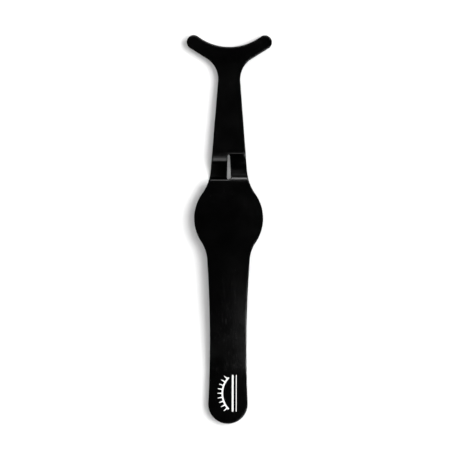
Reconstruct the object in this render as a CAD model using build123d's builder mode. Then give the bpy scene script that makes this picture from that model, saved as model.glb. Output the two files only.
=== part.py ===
"""Cross-action false-lash applicator: crossed spring leaves, welded at the tail, in millimetres.

The applicator lies flat with its long axis along +Y, its crescent jaws at the +Y end, and the outer
face of the lower finger pad on Z = 0. The origin is under the middle of its bounding box.
"""

import os
from math import cos, radians, sin, sqrt, tan

from build123d import *

# --- Overall sizes ---
OVERALL_LENGTH = 120.0  # tail end to jaw tips
OVERALL_HEIGHT = 10.0  # outer face to outer face over the finger pads
SHEET = 0.9  # thickness of the stamped steel
EDGE_ROUND = 0.25  # tumbled radius along every cut edge

HEAD_Y = OVERALL_LENGTH / 2
TAIL_Y = -OVERALL_LENGTH / 2
MID_Z = OVERALL_HEIGHT / 2  # height of the plane between the leaves

# --- Outline of one leaf, seen from above ---
TAIL_RADIUS = 6.1  # half-round tail end
WAIST_Y = -35.5  # narrowest place of the handle
WAIST_HALF_WIDTH = 5.63
WAIST_RADIUS = 370.0  # long hollow curve of the handle's sides
PAD_Y = 3.4  # widest place of the finger pad
PAD_HALF_WIDTH = 10.62
PAD_RADIUS = 13.1  # side curve of the finger pad, flatter than a full circle
HANDLE_BLEND = 11.0  # fillet between handle and pad
NECK_BLEND = 14.0  # fillet between pad and neck
NECK_Y = 45.96  # narrowest place of the neck
NECK_HALF_WIDTH = 3.4
NECK_TAPER = 4.5  # degrees by which each side of the neck widens towards the pad
NECK_FOOT_Y = 8.0  # the neck's straight sides run on to here, inside the pad
JAW_BLEND = 7.56  # fillet between neck and crescent

# --- Crescent jaw ---
JAW_RADIUS = 16.3  # hollow edge that meets the lash band
JAW_TIP_X = 11.0  # centre of each rounded tip
JAW_TIP_RADIUS = 2.15
JAW_TIP_Y = HEAD_Y - JAW_TIP_RADIUS
JAW_UNDERSIDE = 32.0  # degrees by which the arms' undersides rise

# --- Crossing, where each leaf keeps only one half of its width ---
NOTCH_START_Y = 15.4
NOTCH_END_Y = 23.35
LEG_INNER_AT_PAD = 0.65  # inner edge of the leg beside the pad
LEG_INNER_AT_NECK = 0.48  # inner edge of the leg beside the neck
NOTCH_CORNER = 0.75  # radius in the notch's inner corners
NOTCH_OUTER_CORNER = 0.3  # radius on the notch's outer corners
EDGE_SEARCH = 0.05  # an edge this near to the notch's end belongs to it

# --- Side view of the front leaf: heights of its mid-surface above the plane between the leaves ---
TAIL_RISE = SHEET / 2  # the two tails lie face to face
PAD_RISE = OVERALL_HEIGHT / 2 - SHEET / 2
NECK_DROP = -1.87  # where the leg turns into the neck, on the far side of the other leaf
JAW_GAP = 0.06  # play left between the closed jaws
JAW_DROP = -(SHEET + JAW_GAP) / 2
FLARE_Y = -42.0  # the handle leaves the weld zone
BOW_Y = -24.0  # the sloping handle levels off towards the pad
LEG_START_Y = 16.45  # the pad turns down into the leg
LEG_END_Y = 21.82  # the leg turns up into the neck
JAW_START_Y = 52.0  # the neck levels off into the crescent
FLARE_RADIUS = 8.0
BOW_RADIUS = 150.0
LEG_BEND_RADIUS = 3.0
JAW_EASE_RADIUS = 60.0

# --- Flexure and welds ---
FLEX_Y = WAIST_Y  # the line about which each leaf bends, at its waist
FLEX_SLIT = 0.02  # play on each side of the flex line
WELD_YS = (-55.5, -47.0)
WELD_RADIUS = 1.5
WELD_DEPTH = 0.35  # how far each nugget reaches into either leaf

BLANK_HALF_WIDTH = 20.0  # wider than any part of the outline

MID_PLANE = Plane.XY.offset(MID_Z)
ARM_SIDE = Plane.XZ.offset(-FLEX_Y - FLEX_SLIT)
TAIL_SIDE = Plane.XZ.offset(-FLEX_Y + FLEX_SLIT)
SIDE_PLANE = Plane(origin=(0, 0, MID_Z), x_dir=(0, 1, 0), z_dir=(1, 0, 0))
LONG_AXIS = Axis((0, 0, MID_Z), (0, 1, 0))


def waist_width(y):
    """Half-width of the handle's hollow side curve at a place along the leaf."""
    return WAIST_HALF_WIDTH + WAIST_RADIUS - sqrt(WAIST_RADIUS**2 - (y - WAIST_Y) ** 2)


def handle_outline():
    """Half-round tail and the two long hollow sides that end inside the pad."""
    tail_centre_y = TAIL_Y + TAIL_RADIUS
    tail_half_width = waist_width(tail_centre_y)
    pad_half_width = waist_width(PAD_Y)
    with BuildSketch() as handle:
        with BuildLine():
            left = ThreePointArc(
                (-pad_half_width, PAD_Y), (-WAIST_HALF_WIDTH, WAIST_Y), (-tail_half_width, tail_centre_y)
            )
            end = ThreePointArc(left @ 1, (0, TAIL_Y), (tail_half_width, tail_centre_y))
            right = ThreePointArc(end @ 1, (WAIST_HALF_WIDTH, WAIST_Y), (pad_half_width, PAD_Y))
            Line(right @ 1, left @ 0)
        make_face()
    return handle.sketch


def pad_outline():
    """Lens of two flat arcs, whose ends lie inside the handle and the neck."""
    arc_centre_x = PAD_HALF_WIDTH - PAD_RADIUS
    arc_end_y = sqrt(PAD_RADIUS**2 - arc_centre_x**2)
    lower_end = (0, PAD_Y - arc_end_y)
    upper_end = (0, PAD_Y + arc_end_y)
    with BuildSketch() as pad:
        with BuildLine():
            ThreePointArc(lower_end, (PAD_HALF_WIDTH, PAD_Y), upper_end)
            ThreePointArc(upper_end, (-PAD_HALF_WIDTH, PAD_Y), lower_end)
        make_face()
    return pad.sketch


def neck_outline(top_y):
    """Neck with straight sides that widen from the crescent down to the pad."""
    widening = tan(radians(NECK_TAPER))
    foot = NECK_HALF_WIDTH + (NECK_Y - NECK_FOOT_Y) * widening
    top = NECK_HALF_WIDTH + (NECK_Y - top_y) * widening
    with BuildSketch() as neck:
        with BuildLine():
            Polyline((-foot, NECK_FOOT_Y), (foot, NECK_FOOT_Y), (top, top_y), (-top, top_y), close=True)
        make_face()
    return neck.sketch


def jaw_outline():
    """Crescent: two arms with round tips under a hollow circular edge."""
    rise = radians(JAW_UNDERSIDE)
    hollow_y = JAW_TIP_Y + sqrt((JAW_RADIUS + JAW_TIP_RADIUS) ** 2 - JAW_TIP_X**2)
    touch = JAW_TIP_RADIUS / (JAW_RADIUS + JAW_TIP_RADIUS)
    touch_x = JAW_TIP_X * (1 - touch)
    touch_y = JAW_TIP_Y + (hollow_y - JAW_TIP_Y) * touch
    under_x = JAW_TIP_X + JAW_TIP_RADIUS * sin(rise)
    under_y = JAW_TIP_Y - JAW_TIP_RADIUS * cos(rise)
    root_y = under_y - under_x * tan(rise)
    with BuildSketch() as jaw:
        with BuildLine():
            Polyline(
                (0, root_y),
                (under_x, under_y),
                (JAW_TIP_X, JAW_TIP_Y),
                (touch_x, touch_y),
                (-touch_x, touch_y),
                (-JAW_TIP_X, JAW_TIP_Y),
                (-under_x, under_y),
                close=True,
            )
        make_face()
        with Locations((-JAW_TIP_X, JAW_TIP_Y), (JAW_TIP_X, JAW_TIP_Y)):
            Circle(JAW_TIP_RADIUS)
        with Locations((0, hollow_y)):
            Circle(JAW_RADIUS, mode=Mode.SUBTRACT)
    return jaw.sketch


def notch_outline():
    """The half that is cut away from the front leaf's left side, with rounded inner corners."""
    with BuildSketch() as notch:
        with BuildLine():
            FilletPolyline(
                (-BLANK_HALF_WIDTH, NOTCH_START_Y),
                (LEG_INNER_AT_PAD, NOTCH_START_Y),
                (LEG_INNER_AT_NECK, NOTCH_END_Y),
                (-BLANK_HALF_WIDTH, NOTCH_END_Y),
                radius=[NOTCH_CORNER, NOTCH_CORNER],
            )
            Line((-BLANK_HALF_WIDTH, NOTCH_END_Y), (-BLANK_HALF_WIDTH, NOTCH_START_Y))
        make_face()
    return notch.sketch


# --- The whole front leaf, bent from sheet, cut to its outline, and tumbled round at its edges ---
with BuildPart() as leaf:
    with BuildSketch(SIDE_PLANE):
        with BuildLine():
            FilletPolyline(
                (TAIL_Y, TAIL_RISE),
                (FLARE_Y, TAIL_RISE),
                (BOW_Y, PAD_RISE),
                (LEG_START_Y, PAD_RISE),
                (LEG_END_Y, NECK_DROP),
                (JAW_START_Y, JAW_DROP),
                (HEAD_Y, JAW_DROP),
                radius=[FLARE_RADIUS, BOW_RADIUS, LEG_BEND_RADIUS, LEG_BEND_RADIUS, JAW_EASE_RADIUS],
            )
        trace(line_width=SHEET)
    extrude(amount=BLANK_HALF_WIDTH, both=True)
    with BuildSketch(MID_PLANE) as outline:
        add(handle_outline())
        add(pad_outline())
        add(neck_outline(JAW_START_Y))
        add(jaw_outline())
        fillet(outline.vertices().filter_by_position(Axis.Y, WAIST_Y, PAD_Y), radius=HANDLE_BLEND)
        fillet(outline.vertices().filter_by_position(Axis.Y, PAD_Y, NECK_Y), radius=NECK_BLEND)
        fillet(outline.vertices().filter_by_position(Axis.Y, NECK_Y, JAW_START_Y), radius=JAW_BLEND)
        add(notch_outline(), mode=Mode.SUBTRACT)
    extrude(amount=OVERALL_HEIGHT, both=True, mode=Mode.INTERSECT)

    upright_edges = leaf.edges().filter_by(Axis.Z)
    notch_corners = upright_edges.filter_by_position(Axis.X, -PAD_HALF_WIDTH, -NECK_HALF_WIDTH)
    fillet(notch_corners, radius=NOTCH_OUTER_CORNER)
    long_edges = leaf.edges().filter_by(Axis.X, reverse=True).filter_by(Axis.Z, reverse=True)
    cross_edges = leaf.edges().filter_by(Axis.X)
    for notch_y in (NOTCH_START_Y, NOTCH_END_Y):
        long_edges += cross_edges.filter_by_position(Axis.Y, notch_y - EDGE_SEARCH, notch_y + EDGE_SEARCH)
    fillet(long_edges, radius=EDGE_ROUND)

# The back leaf is the same stamping turned over about its long axis.
back_leaf = leaf.part.rotate(LONG_AXIS, 180)

# --- Each leaf parted at its flex line into an arm that swings and a tail that is welded ---
with BuildPart() as front_leaf_arm:
    add(leaf.part)
    split(bisect_by=ARM_SIDE, keep=Keep.BOTTOM)
front_leaf_arm.part.label = "front_leaf_arm"

with BuildPart() as back_leaf_arm:
    add(back_leaf)
    split(bisect_by=ARM_SIDE, keep=Keep.BOTTOM)
back_leaf_arm.part.label = "back_leaf_arm"

# --- Spot welds: a round nugget across the joint at each weld ---
with BuildPart() as spot_welds:
    with BuildSketch(MID_PLANE.offset(-WELD_DEPTH)):
        with Locations([(0, weld_y) for weld_y in WELD_YS]):
            Circle(WELD_RADIUS)
    extrude(amount=2 * WELD_DEPTH)
spot_welds.part.label = "spot_welds"

with BuildPart() as front_leaf_tail:
    add(leaf.part)
    split(bisect_by=TAIL_SIDE, keep=Keep.TOP)
    add(spot_welds.part, mode=Mode.SUBTRACT)
front_leaf_tail.part.label = "front_leaf_tail"

with BuildPart() as back_leaf_tail:
    add(back_leaf)
    split(bisect_by=TAIL_SIDE, keep=Keep.TOP)
    add(spot_welds.part, mode=Mode.SUBTRACT)
back_leaf_tail.part.label = "back_leaf_tail"

os.makedirs("parts", exist_ok=True)
export_step(front_leaf_arm.part, "parts/front_leaf_arm.step")
export_step(back_leaf_arm.part, "parts/back_leaf_arm.step")
export_step(front_leaf_tail.part, "parts/front_leaf_tail.step")
export_step(back_leaf_tail.part, "parts/back_leaf_tail.step")
export_step(spot_welds.part, "parts/spot_welds.step")
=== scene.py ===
"""Looks of a cross-action false-lash applicator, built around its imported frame.

Two lacquered spring leaves are drawn as flat blanks, cut, given their thickness, tumbled round at
their edges and then pressed to shape, in the order in which the real leaves are made. Sizes in the
classes are millimetres in the frame's axes: +Y runs from the welded tail to the crescent jaws.
"""

import logging
from dataclasses import dataclass, field
from enum import Enum
from math import asin, atan2, ceil, cos, hypot, pi, radians, sin, sqrt, tan
from typing import Callable, Iterable

import bpy
import numpy as np
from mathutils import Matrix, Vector


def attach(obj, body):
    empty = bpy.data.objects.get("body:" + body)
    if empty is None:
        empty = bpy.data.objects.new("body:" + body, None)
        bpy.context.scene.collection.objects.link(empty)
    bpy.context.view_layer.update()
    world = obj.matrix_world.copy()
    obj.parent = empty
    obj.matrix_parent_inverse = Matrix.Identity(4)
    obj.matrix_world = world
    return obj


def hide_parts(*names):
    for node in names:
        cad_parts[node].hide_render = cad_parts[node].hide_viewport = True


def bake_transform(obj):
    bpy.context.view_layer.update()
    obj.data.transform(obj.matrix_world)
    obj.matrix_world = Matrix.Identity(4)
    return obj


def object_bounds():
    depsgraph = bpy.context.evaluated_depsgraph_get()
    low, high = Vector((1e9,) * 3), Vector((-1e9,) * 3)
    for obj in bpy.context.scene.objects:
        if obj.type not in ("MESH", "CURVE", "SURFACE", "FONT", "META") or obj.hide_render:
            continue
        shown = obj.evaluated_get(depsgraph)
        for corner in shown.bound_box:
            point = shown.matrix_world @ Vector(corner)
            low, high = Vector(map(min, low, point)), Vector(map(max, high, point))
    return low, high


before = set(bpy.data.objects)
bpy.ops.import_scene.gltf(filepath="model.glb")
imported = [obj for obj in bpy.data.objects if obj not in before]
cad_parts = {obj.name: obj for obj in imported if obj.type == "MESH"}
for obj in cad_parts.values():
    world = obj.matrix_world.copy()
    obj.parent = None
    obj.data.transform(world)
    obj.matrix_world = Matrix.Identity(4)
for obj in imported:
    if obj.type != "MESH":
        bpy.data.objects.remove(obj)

LOG = logging.getLogger("lash_applicator")

MM = 0.001  # metres in a millimetre
SHARP_FROM = radians(50)  # an edge that turns by more than this is a cut edge, which gets rounded
SMOOTH_TO = radians(35)  # an edge that turns by less than this is shaded smooth
CAD_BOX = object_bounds()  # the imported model's box, before anything is added

RIM = "rim"  # mesh attribute that is 1 on the rounded cut edges and 0 on the faces

Point = tuple[float, float]
Colour = tuple[float, float, float]
Socket = bpy.types.NodeSocket


# --- Small helpers ---------------------------------------------------------------------------------


def deselect_everything() -> None:
    """Leaves edit mode and clears the selection."""
    if bpy.context.object is not None and bpy.context.object.mode != "OBJECT":
        bpy.ops.object.mode_set(mode="OBJECT")
    bpy.ops.object.select_all(action="DESELECT")


def pick(obj: bpy.types.Object, kind: str, wanted: Callable[[Vector], bool]) -> int:
    """Selects, in edit mode, the vertices, edges or faces whose middle is wanted.

    Args:
        obj: The mesh object that is in edit mode.
        kind: "VERT", "EDGE" or "FACE".
        wanted: A test of an element's middle, in metres.

    Returns:
        How many elements were selected.
    """
    bpy.ops.mesh.select_mode(type=kind)
    bpy.ops.mesh.select_all(action="DESELECT")
    bpy.ops.object.mode_set(mode="OBJECT")
    mesh = obj.data
    points = mesh.vertices
    if kind == "VERT":
        chosen = [v for v in points if wanted(v.co)]
    elif kind == "EDGE":
        chosen = [e for e in mesh.edges if wanted((points[e.vertices[0]].co + points[e.vertices[1]].co) / 2)]
    else:
        chosen = [p for p in mesh.polygons if wanted(p.center)]
    for element in chosen:
        element.select = True
    bpy.ops.object.mode_set(mode="EDIT")
    return len(chosen)


def circles_meet(first: Point, first_radius: float, second: Point, second_radius: float) -> Point:
    """Where two circles meet, on the left of the way from one centre to the other.

    Args:
        first: Centre of one circle.
        first_radius: Its radius.
        second: Centre of the other circle.
        second_radius: Its radius.

    Returns:
        The meeting point.
    """
    dx, dy = second[0] - first[0], second[1] - first[1]
    apart = hypot(dx, dy)
    along = (apart**2 + first_radius**2 - second_radius**2) / (2 * apart)
    aside = sqrt(first_radius**2 - along**2)
    return (first[0] + (dx * along - dy * aside) / apart, first[1] + (dy * along + dx * aside) / apart)


def toward(start: Point, end: Point, distance: float) -> Point:
    """Steps off a distance on the way from one point to another.

    Args:
        start: Where the way begins.
        end: Where it leads.
        distance: How far to go along it.

    Returns:
        The point reached.
    """
    apart = hypot(end[0] - start[0], end[1] - start[1])
    share = distance / apart
    return (start[0] + (end[0] - start[0]) * share, start[1] + (end[1] - start[1]) * share)


# --- Drawing an outline ----------------------------------------------------------------------------


class Turn(Enum):
    """Which way a stroke bends as it is drawn."""

    STRAIGHT = 0
    LEFT = 1
    RIGHT = -1


@dataclass(frozen=True)
class Stroke:
    """One straight or round stretch of an outline, from start to end, in millimetres."""

    start: Point
    end: Point
    turn: Turn = Turn.STRAIGHT
    centre: Point = (0.0, 0.0)

    def mirrored(self) -> "Stroke":
        """The same stretch on the other side of the long axis, drawn the other way."""
        return Stroke(
            (-self.end[0], self.end[1]),
            (-self.start[0], self.start[1]),
            self.turn,
            (-self.centre[0], self.centre[1]),
        )


class OutlinePen:
    """Draws an outline in edit mode: straight runs by extrude, round stretches by spin."""

    def __init__(self, name: str, start: Point) -> None:
        """Sets the pen down.

        Args:
            name: Name of the new mesh object.
            start: Where the outline begins.
        """
        deselect_everything()
        bpy.ops.mesh.primitive_plane_add(size=MM, location=(start[0] * MM, start[1] * MM, 0))
        self.obj = bpy.context.object
        self.obj.name = self.obj.data.name = name
        bpy.ops.object.transform_apply(location=True)
        bpy.ops.object.mode_set(mode="EDIT")
        bpy.ops.mesh.select_mode(type="VERT")
        bpy.ops.mesh.select_all(action="SELECT")
        bpy.ops.mesh.merge(type="CENTER")

    def draw(self, stroke: Stroke, chord: float) -> None:
        """Adds one stroke.

        Args:
            stroke: The stretch to add, which starts where the last one ended.
            chord: Longest straight piece of a round stretch.
        """
        if stroke.turn is Turn.STRAIGHT:
            step = ((stroke.end[0] - stroke.start[0]) * MM, (stroke.end[1] - stroke.start[1]) * MM, 0)
            bpy.ops.mesh.extrude_region_move(TRANSFORM_OT_translate={"value": step})
            return
        from_angle = atan2(stroke.start[1] - stroke.centre[1], stroke.start[0] - stroke.centre[0])
        to_angle = atan2(stroke.end[1] - stroke.centre[1], stroke.end[0] - stroke.centre[0])
        swept = ((to_angle - from_angle) * stroke.turn.value) % (2 * pi)
        radius = hypot(stroke.start[0] - stroke.centre[0], stroke.start[1] - stroke.centre[1])
        bpy.ops.mesh.spin(
            steps=max(2, ceil(radius * swept / chord)),
            angle=-swept * stroke.turn.value,
            center=(stroke.centre[0] * MM, stroke.centre[1] * MM, 0),
            axis=(0, 0, 1),
            use_auto_merge=False,
        )

    def close(self) -> None:
        """Joins the end to the start and fills the outline with one face."""
        bpy.ops.mesh.select_all(action="SELECT")
        bpy.ops.mesh.remove_doubles(threshold=0.01 * MM)
        bpy.ops.mesh.edge_face_add()


@dataclass
class LeafOutline:
    """Outline of one leaf seen from above, in millimetres, before the notch is cut."""

    tail_y: float
    head_y: float
    tail_radius: float = 6.1
    waist_y: float = -35.5
    waist_half_width: float = 5.63
    waist_radius: float = 370.0
    pad_y: float = 3.4
    pad_half_width: float = 10.62
    pad_radius: float = 13.1
    handle_blend: float = 11.0
    neck_blend: float = 14.0
    neck_y: float = 45.96
    neck_half_width: float = 3.4
    neck_taper: float = 4.5
    jaw_blend: float = 7.56
    jaw_radius: float = 16.3
    jaw_tip_x: float = 11.0
    jaw_tip_radius: float = 2.15
    jaw_underside: float = 32.0
    notch_start_y: float = 15.4
    notch_end_y: float = 23.35

    def neck_width(self, y: float) -> float:
        """Half-width of the straight-sided neck at a place along it."""
        return self.neck_half_width + (self.neck_y - y) * tan(radians(self.neck_taper))

    def handle_strokes(self) -> list[Stroke]:
        """Right side of the handle.

        Returns:
            The strokes from the tail's end up to the widest place of the finger pad.
        """
        hollow = (self.waist_half_width + self.waist_radius, self.waist_y)
        tail_top_y = self.tail_y + self.tail_radius
        tail_x = hollow[0] - sqrt(self.waist_radius**2 - (tail_top_y - self.waist_y) ** 2)
        round_radius = (tail_x**2 + self.tail_radius**2) / (2 * self.tail_radius)
        pad = (self.pad_half_width - self.pad_radius, self.pad_y)
        blend = circles_meet(
            hollow, self.waist_radius - self.handle_blend, pad, self.pad_radius + self.handle_blend
        )
        leaves_handle = toward(hollow, blend, self.waist_radius)
        meets_pad = toward(pad, blend, self.pad_radius)
        tail_end, tail_top = (0.0, self.tail_y), (tail_x, tail_top_y)
        widest = (self.pad_half_width, self.pad_y)
        return [
            Stroke(tail_end, tail_top, Turn.LEFT, (0.0, self.tail_y + round_radius)),
            Stroke(tail_top, leaves_handle, Turn.RIGHT, hollow),
            Stroke(leaves_handle, meets_pad, Turn.RIGHT, blend),
            Stroke(meets_pad, widest, Turn.LEFT, pad),
        ]

    def neck_strokes(self) -> list[Stroke]:
        """Right side of the neck and the crescent.

        Returns:
            The strokes from the widest place of the finger pad to the middle of the hollow edge.
        """
        taper = radians(self.neck_taper)
        outward = (cos(taper), sin(taper))
        upward = (-sin(taper), cos(taper))
        pad = (self.pad_half_width - self.pad_radius, self.pad_y)
        anchor = (
            self.neck_half_width + self.neck_blend * outward[0],
            self.neck_y + self.neck_blend * outward[1],
        )
        back = (pad[0] - anchor[0]) * upward[0] + (pad[1] - anchor[1]) * upward[1]
        aside = (pad[0] - anchor[0]) * outward[0] + (pad[1] - anchor[1]) * outward[1]
        slide = back + sqrt((self.pad_radius + self.neck_blend) ** 2 - aside**2)
        blend = (anchor[0] + upward[0] * slide, anchor[1] + upward[1] * slide)
        leaves_pad = toward(pad, blend, self.pad_radius)
        meets_neck = (blend[0] - outward[0] * self.neck_blend, blend[1] - outward[1] * self.neck_blend)
        step_y = self.notch_start_y
        step_in = (blend[0] - sqrt(self.neck_blend**2 - (step_y - blend[1]) ** 2), step_y)
        step_out = (self.neck_width(self.notch_end_y), self.notch_end_y)
        neck_top, jaw_strokes = self.jaw_strokes()
        widest = (self.pad_half_width, self.pad_y)
        return [
            Stroke(widest, leaves_pad, Turn.LEFT, pad),
            Stroke(leaves_pad, step_in, Turn.RIGHT, blend),
            Stroke(step_in, meets_neck, Turn.RIGHT, blend),
            Stroke(meets_neck, step_out),
            Stroke(step_out, neck_top),
            *jaw_strokes,
        ]

    def jaw_strokes(self) -> tuple[Point, list[Stroke]]:
        """Right half of the crescent.

        Returns:
            Where the neck ends, and the strokes from there to the middle of the hollow edge.
        """
        taper, rise = radians(self.neck_taper), radians(self.jaw_underside)
        tip = (self.jaw_tip_x, self.head_y - self.jaw_tip_radius)
        hollow = (0.0, tip[1] + sqrt((self.jaw_radius + self.jaw_tip_radius) ** 2 - self.jaw_tip_x**2))
        under = (tip[0] + self.jaw_tip_radius * sin(rise), tip[1] - self.jaw_tip_radius * cos(rise))
        root_y = under[1] - under[0] * tan(rise)
        corner_x = self.neck_width(root_y) / (1 + tan(rise) * tan(taper))
        corner = (corner_x, root_y + corner_x * tan(rise))
        turning = pi / 2 - rise + taper
        trim = self.jaw_blend * tan(turning / 2)
        leaves_neck = (corner[0] + sin(taper) * trim, corner[1] - cos(taper) * trim)
        meets_arm = (corner[0] + cos(rise) * trim, corner[1] + sin(rise) * trim)
        blend = (
            leaves_neck[0] + cos(taper) * self.jaw_blend,
            leaves_neck[1] + sin(taper) * self.jaw_blend,
        )
        touch = toward(hollow, tip, self.jaw_radius)
        middle = (0.0, hollow[1] - self.jaw_radius)
        return leaves_neck, [
            Stroke(leaves_neck, meets_arm, Turn.RIGHT, blend),
            Stroke(meets_arm, under),
            Stroke(under, touch, Turn.LEFT, tip),
            Stroke(touch, middle, Turn.RIGHT, hollow),
        ]

    def strokes(self) -> list[Stroke]:
        """The whole outline, round to its start at the tail's end."""
        right = self.handle_strokes() + self.neck_strokes()
        return right + [stroke.mirrored() for stroke in reversed(right)]


# --- Side view -------------------------------------------------------------------------------------


class BentProfile:
    """Height and slope of a leaf's mid-surface along Y: straight runs joined by tangent arcs."""

    def __init__(self, corners: Iterable[Point], radii: Iterable[float]) -> None:
        """Works out the runs and arcs.

        Args:
            corners: (y, z) of the ends and of each corner between two runs.
            radii: Bend radius at each corner, one fewer than two ends.
        """
        corners = list(corners)
        self.pieces: list[tuple[float, Callable[[float], Point]]] = []
        slopes = [atan2(b[1] - a[1], b[0] - a[0]) for a, b in zip(corners, corners[1:])]
        run_start = corners[0]
        for corner, before, after, radius in zip(corners[1:-1], slopes, slopes[1:], radii):
            trim = radius * tan(abs(after - before) / 2)
            arc_start = (corner[0] - trim * cos(before), corner[1] - trim * sin(before))
            arc_end = (corner[0] + trim * cos(after), corner[1] + trim * sin(after))
            side = 1.0 if after > before else -1.0
            centre = (arc_start[0] - side * radius * sin(before), arc_start[1] + side * radius * cos(before))
            self.pieces.append((arc_start[0], self.straight(run_start, before)))
            self.pieces.append((arc_end[0], self.arc(centre, radius, side)))
            run_start = arc_end
        self.pieces.append((float("inf"), self.straight(run_start, slopes[-1])))

    @staticmethod
    def straight(start: Point, slope: float) -> Callable[[float], Point]:
        """A straight run, as a function from y to (z, slope)."""
        return lambda y: (start[1] + (y - start[0]) * tan(slope), slope)

    @staticmethod
    def arc(centre: Point, radius: float, side: float) -> Callable[[float], Point]:
        """A bend.

        Args:
            centre: (y, z) of the bend's centre.
            radius: Bend radius.
            side: 1 where the leaf turns upwards and -1 where it turns downwards.

        Returns:
            A function from y to (z, slope).
        """

        def height_and_slope(y: float) -> Point:
            """(z, slope) on the bend at y."""
            lean = asin(max(-1.0, min(1.0, (y - centre[0]) / radius)))
            return centre[1] - side * radius * cos(lean), side * lean

        return height_and_slope

    def at(self, y: float) -> Point:
        """Height and slope of the mid-surface.

        Args:
            y: Place along the leaf.

        Returns:
            z, and the slope in radians.
        """
        for end, piece in self.pieces:
            if y <= end:
                return piece(y)
        raise ValueError(y)


# --- Finishes --------------------------------------------------------------------------------------


class NodeBoard:
    """Short ways to add and join the nodes of one material."""

    def __init__(self, name: str) -> None:
        """Starts an empty material with its surface shader.

        Args:
            name: Name of the new material.
        """
        self.material = bpy.data.materials.new(name)
        self.material.use_nodes = True
        self.tree = self.material.node_tree
        self.tree.nodes.clear()
        self.shader = self.add("ShaderNodeBsdfPrincipled")
        output = self.add("ShaderNodeOutputMaterial")
        self.tree.links.new(self.shader.outputs["BSDF"], output.inputs["Surface"])
        self.place = self.add("ShaderNodeTexCoord").outputs["Object"]

    def add(self, kind: str, **settings: object) -> bpy.types.Node:
        """Adds a node.

        Args:
            kind: The node's type.
            **settings: Properties to set on it.

        Returns:
            The new node.
        """
        node = self.tree.nodes.new(kind)
        for name, value in settings.items():
            setattr(node, name, value)
        return node

    def join(self, source: Socket, target: Socket) -> None:
        """Links one socket to another."""
        self.tree.links.new(source, target)

    def noise(self, size_mm: float, detail: float = 2.0, stretch: Vector | None = None) -> Socket:
        """Noise whose features are about size_mm across.

        Args:
            size_mm: Size of a feature.
            detail: Octaves of finer noise.
            stretch: Scale along each axis, where the grain has a direction.

        Returns:
            The noise's value, from 0 to 1.
        """
        node = self.add("ShaderNodeTexNoise")
        node.inputs["Scale"].default_value = 1 / (size_mm * MM)
        node.inputs["Detail"].default_value = detail
        where = self.place
        if stretch is not None:
            mapping = self.add("ShaderNodeMapping")
            mapping.inputs["Scale"].default_value = stretch
            self.join(where, mapping.inputs["Vector"])
            where = mapping.outputs["Vector"]
        self.join(where, node.inputs["Vector"])
        return node.outputs["Fac"]

    def spread(
        self, value: Socket, lowest: float, highest: float, low: float = 0.3, high: float = 0.7
    ) -> Socket:
        """Maps a value from one range to another, and holds it there.

        Args:
            value: The value to map.
            lowest: Result at low and below it.
            highest: Result at high and above it.
            low: Start of the range that is mapped.
            high: End of the range that is mapped.

        Returns:
            The mapped value.
        """
        node = self.add("ShaderNodeMapRange")
        for name, number in (("From Min", low), ("From Max", high), ("To Min", lowest), ("To Max", highest)):
            node.inputs[name].default_value = number
        self.join(value, node.inputs["Value"])
        return node.outputs["Result"]

    def combine(self, operation: str, first: Socket, second: Socket | float) -> Socket:
        """Joins a value to another value or to a plain number.

        Args:
            operation: What the Math node does with the two.
            first: The value.
            second: The other value, or the number.

        Returns:
            The result.
        """
        node = self.add("ShaderNodeMath", operation=operation)
        self.join(first, node.inputs[0])
        if isinstance(second, float):
            node.inputs[1].default_value = second
        else:
            self.join(second, node.inputs[1])
        return node.outputs["Value"]

    def sum(self, first: Socket, second: Socket | float) -> Socket:
        """Adds two values."""
        return self.combine("ADD", first, second)

    def times(self, first: Socket, second: Socket | float) -> Socket:
        """Multiplies two values."""
        return self.combine("MULTIPLY", first, second)

    def ramp(self, share: Socket, *colours: Colour) -> Socket:
        """A colour that runs evenly through the given ones.

        Args:
            share: The place along the run, from 0 to 1.
            *colours: The colours, from the one at 0 to the one at 1.

        Returns:
            The mixed colour.
        """
        node = self.add("ShaderNodeValToRGB")
        stops = node.color_ramp.elements
        while len(stops) < len(colours):
            stops.new(0.5)
        for index, colour in enumerate(colours):
            stops[index].position = index / (len(colours) - 1)
            stops[index].color = (*colour, 1.0)
        self.join(share, node.inputs["Fac"])
        return node.outputs["Color"]

    def bump(self, height: Socket, depth_mm: float, under: Socket | None = None) -> Socket:
        """A relief in the surface.

        Args:
            height: Its height, from 0 to 1.
            depth_mm: Real depth from 0 to 1.
            under: The relief that this one lies on, if any.

        Returns:
            The normal of both.
        """
        node = self.add("ShaderNodeBump")
        node.inputs["Strength"].default_value = 1.0
        node.inputs["Distance"].default_value = depth_mm * MM
        self.join(height, node.inputs["Height"])
        if under is not None:
            self.join(under, node.inputs["Normal"])
        return node.outputs["Normal"]


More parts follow.
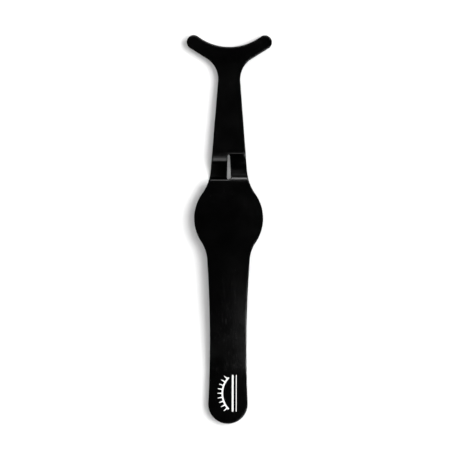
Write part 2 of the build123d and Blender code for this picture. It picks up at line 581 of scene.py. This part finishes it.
@dataclass(frozen=True)
class SatinLacquer:
    """Black stoving lacquer over steel: fine orange peel and grain, hairlines, edges worn thin."""

    deep: Colour = (0.0002, 0.0002, 0.00025)
    plain: Colour = (0.0005, 0.0005, 0.00055)
    thin: Colour = (0.009, 0.0086, 0.0082)
    smooth: float = 0.145
    dull: float = 0.185
    cloud_mm: float = 7.0
    patch_mm: float = 1.1
    peel_mm: float = 0.6
    peel_depth_mm: float = 0.009
    grain_mm: float = 0.16
    grain_depth_mm: float = 0.0045
    hairline_mm: float = 0.11
    hairline_run: float = 0.03
    hairline_depth_mm: float = 0.004
    hairline_dulling: float = 0.1
    wear_dulling: float = 0.14
    shade_span: float = 0.45

    def material(self) -> bpy.types.Material:
        """Builds the material.

        Returns:
            The finish, ready to append to a mesh.
        """
        board = NodeBoard("satin_black_lacquer")
        rim = board.add("ShaderNodeAttribute", attribute_name=RIM).outputs["Fac"]
        cloudy = board.noise(self.cloud_mm, detail=3.0)
        patchy = board.noise(self.patch_mm, detail=5.0)
        lengthwise = board.noise(self.hairline_mm, 2.0, Vector((1.0, self.hairline_run, 1.0)))
        hairlines = board.spread(lengthwise, 0.0, 1.0, low=0.68, high=0.74)
        rubbed = board.times(rim, board.spread(patchy, 0.0, 1.0, low=0.5, high=0.66))
        shade = board.sum(board.spread(cloudy, 0.0, self.shade_span), board.times(rubbed, self.shade_span))
        board.join(board.ramp(shade, self.deep, self.plain, self.thin), board.shader.inputs["Base Color"])
        rough = board.sum(board.spread(cloudy, self.smooth, self.dull), board.spread(patchy, -0.01, 0.015))
        rough = board.sum(rough, board.times(hairlines, self.hairline_dulling))
        rough = board.sum(rough, board.times(rubbed, self.wear_dulling))
        board.join(rough, board.shader.inputs["Roughness"])
        relief = board.bump(board.noise(self.peel_mm, 1.0), self.peel_depth_mm)
        relief = board.bump(board.noise(self.grain_mm, 2.0), self.grain_depth_mm, under=relief)
        relief = board.bump(hairlines, -self.hairline_depth_mm, under=relief)
        board.join(relief, board.shader.inputs["Normal"])
        return board.material


@dataclass(frozen=True)
class PadInk:
    """White pad-printing ink: thin, matt and faintly mottled."""

    bright: Colour = (0.86, 0.86, 0.85)
    thin: Colour = (0.66, 0.66, 0.66)
    smooth: float = 0.45
    dull: float = 0.65
    mottle_mm: float = 0.25
    tooth_mm: float = 0.08
    tooth_depth_mm: float = 0.001

    def material(self) -> bpy.types.Material:
        """Builds the material.

        Returns:
            The finish, ready to append to a mesh.
        """
        board = NodeBoard("white_print_ink")
        mottle = board.noise(self.mottle_mm, detail=4.0)
        share = board.spread(mottle, 0.0, 1.0, low=0.25, high=0.6)
        board.join(board.ramp(share, self.thin, self.bright), board.shader.inputs["Base Color"])
        board.join(board.spread(mottle, self.smooth, self.dull), board.shader.inputs["Roughness"])
        tooth = board.bump(board.noise(self.tooth_mm), self.tooth_depth_mm)
        board.join(tooth, board.shader.inputs["Normal"])
        return board.material


@dataclass(frozen=True)
class WeldSteel:
    """Fused steel of the hidden spot welds, dull and heat-stained."""

    bare: Colour = (0.42, 0.42, 0.43)
    burnt: Colour = (0.16, 0.13, 0.12)
    smooth: float = 0.35
    dull: float = 0.6
    stain_mm: float = 0.9
    pit_mm: float = 0.2
    pit_depth_mm: float = 0.01

    def material(self) -> bpy.types.Material:
        """Builds the material.

        Returns:
            The finish, ready to append to a mesh.
        """
        board = NodeBoard("spot_weld_steel")
        stain = board.noise(self.stain_mm, detail=4.0)
        board.join(board.ramp(stain, self.bare, self.burnt), board.shader.inputs["Base Color"])
        board.join(board.spread(stain, self.smooth, self.dull), board.shader.inputs["Roughness"])
        pits = board.bump(board.noise(self.pit_mm, detail=3.0), self.pit_depth_mm)
        board.join(pits, board.shader.inputs["Normal"])
        board.shader.inputs["Metallic"].default_value = 1.0
        return board.material


@dataclass(frozen=True)
class StudioPaper:
    """White background paper with a very faint tooth."""

    light: Colour = (0.86, 0.86, 0.86)
    shade: Colour = (0.84, 0.84, 0.84)
    tooth_mm: float = 3.0

    def material(self) -> bpy.types.Material:
        """Builds the material.

        Returns:
            The finish, ready to append to a mesh.
        """
        board = NodeBoard("studio_paper")
        tooth = board.noise(self.tooth_mm, detail=3.0)
        board.join(board.ramp(tooth, self.shade, self.light), board.shader.inputs["Base Color"])
        board.shader.inputs["Roughness"].default_value = 1.0
        board.shader.inputs["Specular IOR Level"].default_value = 0.0
        return board.material


# --- The spring leaves -----------------------------------------------------------------------------


@dataclass(frozen=True)
class Crown:
    """The faint roundness that coining leaves across a handle: highest in the middle."""

    radius: float = 125.0
    level_from_y: float = 3.0
    level_to_y: float = 14.5

    def drop(self, x: float, y: float) -> float:
        """How far the crowned face lies under a flat one, in millimetres."""
        share = float(np.clip((self.level_to_y - y) / (self.level_to_y - self.level_from_y), 0, 1))
        return share * share * (3 - 2 * share) * x**2 / (2 * self.radius)


class Side(Enum):
    """Which of the two leaves: the one whose finger pad faces up, or the one it lies on."""

    FRONT = "front"
    BACK = "back"


@dataclass
class SpringLeaf:
    """One spring leaf: blank, notch, thickness, tumbled edges, scored for bending, then pressed."""

    side: Side
    outline: LeafOutline
    height: float
    crown: Crown
    sheet: float = 0.9
    face_skin: float = 0.01  # depth that still counts as the sheet's face
    edge_round: float = 0.33
    edge_segments: int = 5
    flat_ring: float = 0.08  # level strip kept between a face and its rounded edge
    chord: float = 0.38  # longest straight piece of a round stretch
    leg_inner_at_pad: float = 0.65
    leg_inner_at_neck: float = 0.33
    notch_corner: float = 0.75
    corner_segments: int = 6
    neck_drop: float = -1.87  # height of the leg's far end above the plane between the leaves
    jaw_gap: float = 0.06  # play between the closed jaws
    flare_y: float = -42.0
    bow_y: float = -24.0
    leg_start_y: float = 16.05
    leg_end_y: float = 21.82
    jaw_start_y: float = 52.0
    bend_radii: tuple[float, ...] = (35.0, 150.0, 3.2, 6.0, 60.0)
    tight_bends: tuple[Point, ...] = ((-44.0, -40.5), (14.8, 17.8), (19.6, 24.8))  # from y, to y
    tight_step: float = 0.25
    wide_step: float = 1.0
    flex_from_y: float = -43.5  # the leaf bends between these two places when it is squeezed
    flex_to_y: float = -25.0
    obj: bpy.types.Object | None = field(default=None, init=False)

    def build(self) -> bpy.types.Object:
        """Models the leaf.

        Returns:
            The finished mesh object, in the frame.
        """
        self.draw_blank()
        self.cut_notch()
        self.thicken()
        self.tumble()
        self.score()
        self.press()
        if self.side is Side.BACK:
            self.turn_over()
        deselect_everything()
        self.obj.select_set(True)
        bpy.context.view_layer.objects.active = self.obj
        bpy.ops.object.shade_smooth_by_angle(angle=SMOOTH_TO)
        return self.obj

    def draw_blank(self) -> None:
        """Draws the flat outline and fills it."""
        strokes = self.outline.strokes()
        pen = OutlinePen(f"{self.side.value}_leaf", strokes[0].start)
        for stroke in strokes:
            pen.draw(stroke, self.chord)
        pen.close()
        self.obj = pen.obj

    def cut_notch(self) -> None:
        """Cuts away the left half of the crossing and rounds the notch's inner corners."""
        start_y, end_y = self.outline.notch_start_y, self.outline.notch_end_y
        snap = 0.02 * MM
        for y in (start_y, end_y):
            bpy.ops.mesh.select_all(action="SELECT")
            bpy.ops.mesh.bisect(plane_co=(0, y * MM, 0), plane_no=(0, 1, 0), threshold=snap)
        lean = (self.leg_inner_at_pad - self.leg_inner_at_neck) / (end_y - start_y)
        pick(self.obj, "FACE", lambda c: start_y * MM < c.y < end_y * MM)
        bpy.ops.mesh.bisect(
            plane_co=(self.leg_inner_at_pad * MM, start_y * MM, 0), plane_no=(1, lean, 0), threshold=snap
        )
        pick(
            self.obj,
            "FACE",
            lambda c: start_y * MM < c.y < end_y * MM and c.x < self.leg_inner_at_neck * MM,
        )
        bpy.ops.mesh.delete(type="FACE")
        bpy.ops.mesh.select_all(action="SELECT")
        bpy.ops.mesh.dissolve_faces()
        near = 0.1 * MM
        corners = [
            Vector((self.leg_inner_at_pad * MM, start_y * MM, 0)),
            Vector((self.leg_inner_at_neck * MM, end_y * MM, 0)),
        ]
        found = pick(self.obj, "VERT", lambda c: min((c - corner).length for corner in corners) < near)
        assert found == len(corners), f"the notch has {found} inner corners"
        bpy.ops.mesh.bevel(
            offset=self.notch_corner * MM,
            segments=self.corner_segments,
            affect="VERTICES",
            clamp_overlap=False,
        )

    def thicken(self) -> None:
        """Gives the blank its sheet thickness, half of it on each side of Z = 0."""
        bpy.ops.mesh.select_mode(type="FACE")
        bpy.ops.mesh.select_all(action="SELECT")
        bpy.ops.mesh.normals_make_consistent(inside=False)
        bpy.ops.transform.translate(value=(0, 0, -self.sheet / 2 * MM))
        bpy.ops.mesh.extrude_region_move(TRANSFORM_OT_translate={"value": (0, 0, self.sheet * MM)})
        bpy.ops.mesh.select_all(action="SELECT")
        bpy.ops.mesh.normals_make_consistent(inside=False)

    def tumble(self) -> None:
        """Rounds every cut edge, with a narrow level ring inside each rounding."""
        face_z = (self.sheet / 2 - self.face_skin) * MM
        pick(self.obj, "FACE", lambda c: abs(c.z) > face_z)
        ring = (self.edge_round + self.flat_ring) * MM
        bpy.ops.mesh.inset(thickness=ring, use_boundary=True, use_even_offset=True, use_outset=False)
        bpy.ops.mesh.select_all(action="DESELECT")
        bpy.ops.mesh.select_mode(type="EDGE")
        bpy.ops.mesh.edges_select_sharp(sharpness=SHARP_FROM)
        bpy.ops.mesh.bevel(
            offset=self.edge_round * MM, segments=self.edge_segments, profile=0.5, clamp_overlap=False
        )

    def score(self) -> None:
        """Cuts lines across and along the leaf, so that it can follow its bends."""
        snap = 0.03 * MM
        for plane_co, plane_no in self.score_lines():
            bpy.ops.mesh.select_all(action="SELECT")
            bpy.ops.mesh.bisect(plane_co=plane_co, plane_no=plane_no, threshold=snap)

    def score_lines(self) -> list[tuple[tuple[float, float, float], tuple[float, float, float]]]:
        """Sets out the cuts, close together in the tight bends and wider elsewhere.

        Returns:
            A place on each cut, and the cut's normal.
        """
        lines = []
        y = self.outline.tail_y + self.wide_step
        while y < self.outline.head_y - self.wide_step / 2:
            lines.append(((0, y * MM, 0), (0, 1, 0)))
            tight = any(start < y < end for start, end in self.tight_bends)
            y += self.tight_step if tight else self.wide_step
        reach = int(self.outline.pad_half_width)
        lines += [((x * MM, 0, 0), (1, 0, 0)) for x in range(-reach, reach + 1)]
        return lines

    def profile(self) -> BentProfile:
        """Side view of the front leaf.

        Returns:
            Its mid-surface, above the plane between the leaves.
        """
        pad_rise = (self.height - self.sheet) / 2
        jaw_drop = -(self.sheet + self.jaw_gap) / 2
        corners = [
            (self.outline.tail_y, self.sheet / 2),
            (self.flare_y, self.sheet / 2),
            (self.bow_y, pad_rise),
            (self.leg_start_y, pad_rise),
            (self.leg_end_y, self.neck_drop),
            (self.jaw_start_y, jaw_drop),
            (self.outline.head_y, jaw_drop),
        ]
        return BentProfile(corners, self.bend_radii)

    def press(self) -> None:
        """Presses the flat leaf to its side view and crowns handle and pad.

        The whole sheet is crowned where the leaf stands free, and only its outer face over the
        weld, where the inner faces lie flat on each other.
        """
        bpy.ops.object.mode_set(mode="OBJECT")
        profile, mesh = self.profile(), self.obj.data
        flat = np.empty(len(mesh.vertices) * 3)
        mesh.vertices.foreach_get("co", flat)
        flat = flat.reshape(-1, 3) / MM
        rim = np.clip((self.sheet / 2 - self.face_skin - np.abs(flat[:, 2])) / self.edge_round, 0, 1)
        mesh.attributes.new(RIM, "FLOAT", "POINT").data.foreach_set("value", rim.astype(np.float32))
        pressed = np.empty_like(flat)
        for index, (x, y, off) in enumerate(flat):
            rise, slope = profile.at(float(y))
            bowed = float(np.clip((y - self.flare_y) / (self.bow_y - self.flare_y), 0, 1))
            outward = off / self.sheet + 0.5
            off -= self.crown.drop(x, y) * (outward + (1 - outward) * bowed)
            pressed[index] = (x, y - off * sin(slope), self.height / 2 + rise + off * cos(slope))
        mesh.vertices.foreach_set("co", (pressed * MM).ravel())
        mesh.update()

    def turn_over(self) -> None:
        """Turns the leaf half round its long axis, which makes the back leaf of it."""
        deselect_everything()
        self.obj.select_set(True)
        bpy.context.view_layer.objects.active = self.obj
        bpy.ops.object.mode_set(mode="EDIT")
        bpy.ops.mesh.select_all(action="SELECT")
        bpy.ops.transform.rotate(value=pi, orient_axis="Y", center_override=(0, 0, self.height / 2 * MM))
        bpy.ops.object.mode_set(mode="OBJECT")

    def dress(self, lacquer: bpy.types.Material) -> None:
        """Lacquers the leaf, bakes its placement into the mesh and hides the imported parts that it stands
        in for.

        Args:
            lacquer: The finish of both leaves.
        """
        name = self.side.value
        self.obj.data.materials.append(lacquer)
        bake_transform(self.obj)
        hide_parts(f"{name}_leaf_arm", f"{name}_leaf_tail")


# --- The print -------------------------------------------------------------------------------------


@dataclass
class InkMark:
    """Plain print on the tail: a closed eye's lash line over two rules, read from tail to head."""

    face_z: float
    crown: Crown
    film: float = 0.03
    middle_y: float = -50.6
    lid_radius: float = 7.0
    lid_x: float = 5.25
    lid_half_angle: float = 44.0
    lid_width: float = 0.5
    lid_steps: int = 18
    lash_count: int = 9
    lash_spread: float = 0.9
    lash_length: float = 1.25
    lash_root: float = 0.42
    lash_tip: float = 0.16
    rule_length: float = 11.4
    rule_end_segments: int = 5
    rules: tuple[tuple[float, float], ...] = ((1.45, 0.55), (2.55, 0.22))  # place across, width
    strips: list[bpy.types.Object] = field(default_factory=list, init=False)
    obj: bpy.types.Object | None = field(default=None, init=False)

    def build(self) -> bpy.types.Object:
        """Models the print as a thin film of ink.

        Returns:
            The finished mesh object, in the frame.
        """
        deselect_everything()
        for place_x, width in self.rules:
            self.add_rule(place_x, width)
        self.add_lid()
        for index in range(self.lash_count):
            share = 2 * index / (self.lash_count - 1) - 1
            self.add_lash(radians(self.lid_half_angle) * self.lash_spread * share)
        deselect_everything()
        for strip in self.strips:
            strip.select_set(True)
        bpy.ops.object.join()
        self.obj = bpy.context.object
        self.obj.name = self.obj.data.name = "tail_print"
        bpy.ops.object.mode_set(mode="EDIT")
        bpy.ops.mesh.select_all(action="SELECT")
        bpy.ops.mesh.extrude_region_move(TRANSFORM_OT_translate={"value": (0, 0, self.film * MM)})
        bpy.ops.mesh.select_all(action="SELECT")
        bpy.ops.mesh.normals_make_consistent(inside=False)
        bpy.ops.object.mode_set(mode="OBJECT")
        for vertex in self.obj.data.vertices:
            vertex.co.z -= self.crown.drop(vertex.co.x / MM, vertex.co.y / MM) * MM
        return self.obj

    def start_strip(self, x: float, width: float, length: float) -> bpy.types.Object:
        """Adds a rectangle of ink, level with the middle of the print, and opens it in edit mode.

        Args:
            x: Middle across the leaf.
            width: Size across the leaf.
            length: Size along the leaf.

        Returns:
            The rectangle, with its place in its mesh.
        """
        deselect_everything()
        bpy.ops.mesh.primitive_plane_add(size=MM, location=(x * MM, self.middle_y * MM, self.face_z * MM))
        strip = bpy.context.object
        strip.scale = (width, length, 1)
        bpy.ops.object.transform_apply(location=True, scale=True)
        bpy.ops.object.mode_set(mode="EDIT")
        self.strips.append(strip)
        return strip

    def add_rule(self, x: float, width: float) -> None:
        """Adds a straight rule with round ends.

        Args:
            x: Middle of the rule, across the leaf.
            width: Width of the rule.
        """
        self.start_strip(x, width, self.rule_length)
        bpy.ops.mesh.select_mode(type="VERT")
        bpy.ops.mesh.select_all(action="SELECT")
        bpy.ops.mesh.bevel(offset=width / 2 * MM, segments=self.rule_end_segments, affect="VERTICES")

    def add_lid(self) -> None:
        """Adds the curved lid line, an edge spun about the lid's centre."""
        half = radians(self.lid_half_angle)
        strip = self.start_strip(self.lid_x - self.lid_radius, self.lid_width, self.lid_width)
        pick(strip, "EDGE", lambda c: c.y > self.middle_y * MM + 0.2 * self.lid_width * MM)
        bpy.ops.mesh.select_all(action="INVERT")
        bpy.ops.mesh.delete(type="EDGE")
        bpy.ops.mesh.select_mode(type="EDGE")
        bpy.ops.mesh.select_all(action="SELECT")
        bpy.ops.transform.translate(value=(0, -self.lid_width / 2 * MM, 0))
        for angle in (half, -half):
            pick(strip, "EDGE", lambda c: abs(c.y - self.middle_y * MM) < 0.001 * MM)
            bpy.ops.mesh.spin(
                steps=self.lid_steps,
                angle=angle,
                center=(self.lid_x * MM, self.middle_y * MM, 0),
                axis=(0, 0, 1),
                use_auto_merge=False,
            )

    def add_lash(self, lean: float) -> None:
        """Adds one lash, which tapers away from the lid.

        Args:
            lean: Angle round the lid's centre, 0 in the middle.
        """
        root = self.lid_radius + self.lid_width / 2
        middle = root + self.lash_length / 2
        strip = self.start_strip(self.lid_x - middle, self.lash_length, self.lash_root)
        pick(strip, "EDGE", lambda c: c.x < (self.lid_x - middle - 0.3 * self.lash_length) * MM)
        bpy.ops.transform.resize(value=(1, self.lash_tip / self.lash_root, 1))
        bpy.ops.mesh.select_all(action="SELECT")
        bpy.ops.transform.rotate(
            value=lean, orient_axis="Z", center_override=(self.lid_x * MM, self.middle_y * MM, 0)
        )

    def dress(self, ink: bpy.types.Material) -> None:
        """Gives the print its ink and ties it to the welded tail.

        Args:
            ink: The print's finish.
        """
        self.obj.data.materials.append(ink)
        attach(self.obj, "tail")


# --- The welds -------------------------------------------------------------------------------------


@dataclass(frozen=True)
class SpotWelds:
    """The hidden welds that join the tails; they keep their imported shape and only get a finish."""

    node: str = "spot_welds"

    def dress(self, steel: bpy.types.Material) -> None:
        """Gives the welds their steel.

        Args:
            steel: The finish of the fused metal.
        """
        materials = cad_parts[self.node].data.materials
        materials.clear()
        materials.append(steel)


# --- Studio ----------------------------------------------------------------------------------------


class Seen(Enum):
    """Whether a lamp lights plain surfaces or is only mirrored in glossy ones."""

    PLAIN = (True, False)
    GLOSS = (False, True)


def beam(azimuth: float, tilt: float) -> Vector:
    """Unit vector toward a lamp.

    Args:
        azimuth: Degrees from +X toward +Y.
        tilt: Degrees down from straight overhead.

    Returns:
        The direction.
    """
    around, down = radians(azimuth), radians(tilt)
    return Vector((cos(around) * sin(down), sin(around) * sin(down), cos(down)))


def hang(name: str, data: bpy.types.Light, toward_lamp: Vector, distance: float, seen: Seen) -> None:
    """Hangs a lamp that points at the object.

    Args:
        name: Name of the lamp.
        data: The light itself.
        toward_lamp: Unit vector from the object to the lamp.
        distance: How far away it hangs, in metres.
        seen: Which surfaces it lights.
    """
    lamp = bpy.data.objects.new(name, data)
    bpy.context.scene.collection.objects.link(lamp)
    lamp.location = toward_lamp * distance
    lamp.rotation_mode = "QUATERNION"
    lamp.rotation_quaternion = toward_lamp.to_track_quat("Z", "Y")
    lamp.visible_camera = False
    lamp.visible_diffuse, lamp.visible_glossy = seen.value


@dataclass(frozen=True)
class SoftSun:
    """Even light on plain surfaces from one side, as from a large distant window."""

    name: str
    azimuth: float
    tilt: float
    power: float
    width: float

    def hang(self) -> None:
        """Adds the light to the scene."""
        data = bpy.data.lights.new(self.name, "SUN")
        data.energy = self.power
        data.angle = radians(self.width)
        hang(self.name, data, beam(self.azimuth, self.tilt), 1.0, Seen.PLAIN)


@dataclass(frozen=True)
class SoftBox:
    """A rectangular panel that is only seen mirrored in glossy surfaces."""

    name: str
    azimuth: float
    tilt: float
    distance: float
    size: Point
    radiance: float

    def hang(self) -> None:
        """Adds the light to the scene."""
        data = bpy.data.lights.new(self.name, "AREA")
        data.shape = "RECTANGLE"
        data.size, data.size_y = self.size
        data.energy = self.radiance * pi * self.size[0] * self.size[1]
        hang(self.name, data, beam(self.azimuth, self.tilt), self.distance, Seen.GLOSS)


@dataclass
class Studio:
    """White table, soft light from the upper right, and a camera straight overhead."""

    floor_size: float = 12.0
    field_width: float = 0.1413
    camera_height: float = 1.5
    subject_height: float = 0.007
    sensor: float = 36.0
    centre: Point = (0.00012, 0.00014)
    roll_deg: float = 0.22
    sky: tuple[Point, ...] = (  # height from straight down at 0 to straight up at 1, and grey
        (0.0, 0.015),
        (0.5, 0.02),
        (0.525, 0.5),
        (0.545, 0.42),
        (0.58, 0.22),
        (0.72, 0.15),
        (0.8, 0.03),
        (0.95, 0.001),
    )
    lights: tuple[SoftSun | SoftBox, ...] = (
        SoftSun("key", 13.0, 20.5, 2.5, 24.0),
        SoftSun("fill", 0.0, 0.0, 2.05, 36.0),
        SoftBox("head_panel", 90.0, 34.0, 1.2, (0.42, 0.38), 5.5),
        SoftBox("shoulder_panel", 52.0, 38.0, 1.2, (0.55, 0.4), 8.0),
        SoftBox("tail_panel", -90.0, 54.0, 1.2, (0.7, 0.56), 1.8),
        SoftBox("tail_glow", -90.0, 35.0, 1.2, (0.7, 0.25), 0.45),
        SoftBox("hand_panel", -43.0, 28.0, 0.9, (0.24, 0.24), 9.0),
    )

    def build(self) -> None:
        """Adds floor, lamps, sky and camera."""
        deselect_everything()
        bpy.ops.mesh.primitive_plane_add(size=self.floor_size, location=(0, 0, 0))
        floor = bpy.context.object
        floor.name = floor.data.name = "table_top"
        floor.data.materials.append(StudioPaper().material())
        floor.visible_glossy = False
        for light in self.lights:
            light.hang()
        self.paint_sky()
        self.place_camera()
        bpy.context.scene.view_settings.view_transform = "Standard"

    def paint_sky(self) -> None:
        """Pale at the horizon and dark elsewhere, so that level black surfaces stay black."""
        world = bpy.data.worlds.new("studio")
        bpy.context.scene.world = world
        world.use_nodes = True
        tree = world.node_tree
        tree.nodes.clear()
        where = tree.nodes.new("ShaderNodeTexCoord")
        split = tree.nodes.new("ShaderNodeSeparateXYZ")
        height = tree.nodes.new("ShaderNodeMapRange")
        height.inputs["From Min"].default_value = -1.0
        ramp = tree.nodes.new("ShaderNodeValToRGB")
        back = tree.nodes.new("ShaderNodeBackground")
        output = tree.nodes.new("ShaderNodeOutputWorld")
        tree.links.new(where.outputs["Generated"], split.inputs["Vector"])
        tree.links.new(split.outputs["Z"], height.inputs["Value"])
        tree.links.new(height.outputs["Result"], ramp.inputs["Fac"])
        tree.links.new(ramp.outputs["Color"], back.inputs["Color"])
        tree.links.new(back.outputs["Background"], output.inputs["Surface"])
        stops = ramp.color_ramp.elements
        for _ in self.sky[2:]:
            stops.new(0.5)
        for stop, (place, grey) in zip(stops, self.sky):
            stop.position = place
            stop.color = (grey, grey, grey, 1)

    def place_camera(self) -> None:
        """Adds the overhead camera, with a long lens and no shift."""
        data = bpy.data.cameras.new("camera")
        camera = bpy.data.objects.new("camera", data)
        bpy.context.scene.collection.objects.link(camera)
        bpy.context.scene.camera = camera
        data.sensor_width = self.sensor
        data.lens = self.sensor * (self.camera_height - self.subject_height) / self.field_width
        data.clip_start, data.clip_end = 0.05, 20.0
        camera.location = (*self.centre, self.camera_height)
        camera.rotation_euler = (0, 0, radians(self.roll_deg))


# --- Assembly --------------------------------------------------------------------------------------


def main() -> None:
    """Builds the studio and the applicator in order, and reports each piece."""
    logging.basicConfig(level=logging.INFO, format="%(name)s: %(message)s")
    studio = Studio()
    studio.build()
    LOG.info("studio: %d lamps", len(studio.lights))
    lowest, highest = (corner / MM for corner in CAD_BOX)
    outline = LeafOutline(tail_y=lowest.y, head_y=highest.y)
    crown = Crown()
    lacquer = SatinLacquer().material()
    for side in Side:
        leaf = SpringLeaf(side, outline, highest.z, crown)
        leaf.build()
        leaf.dress(lacquer)
        LOG.info("%s leaf: %d faces", side.value, len(leaf.obj.data.polygons))
    mark = InkMark(highest.z / 2 + leaf.sheet, crown)
    mark.build()
    mark.dress(PadInk().material())
    LOG.info("tail print: %d faces", len(mark.obj.data.polygons))
    SpotWelds().dress(WeldSteel().material())
    LOG.info("spot welds: packed shape kept")


if __name__ == "__main__":
    main()
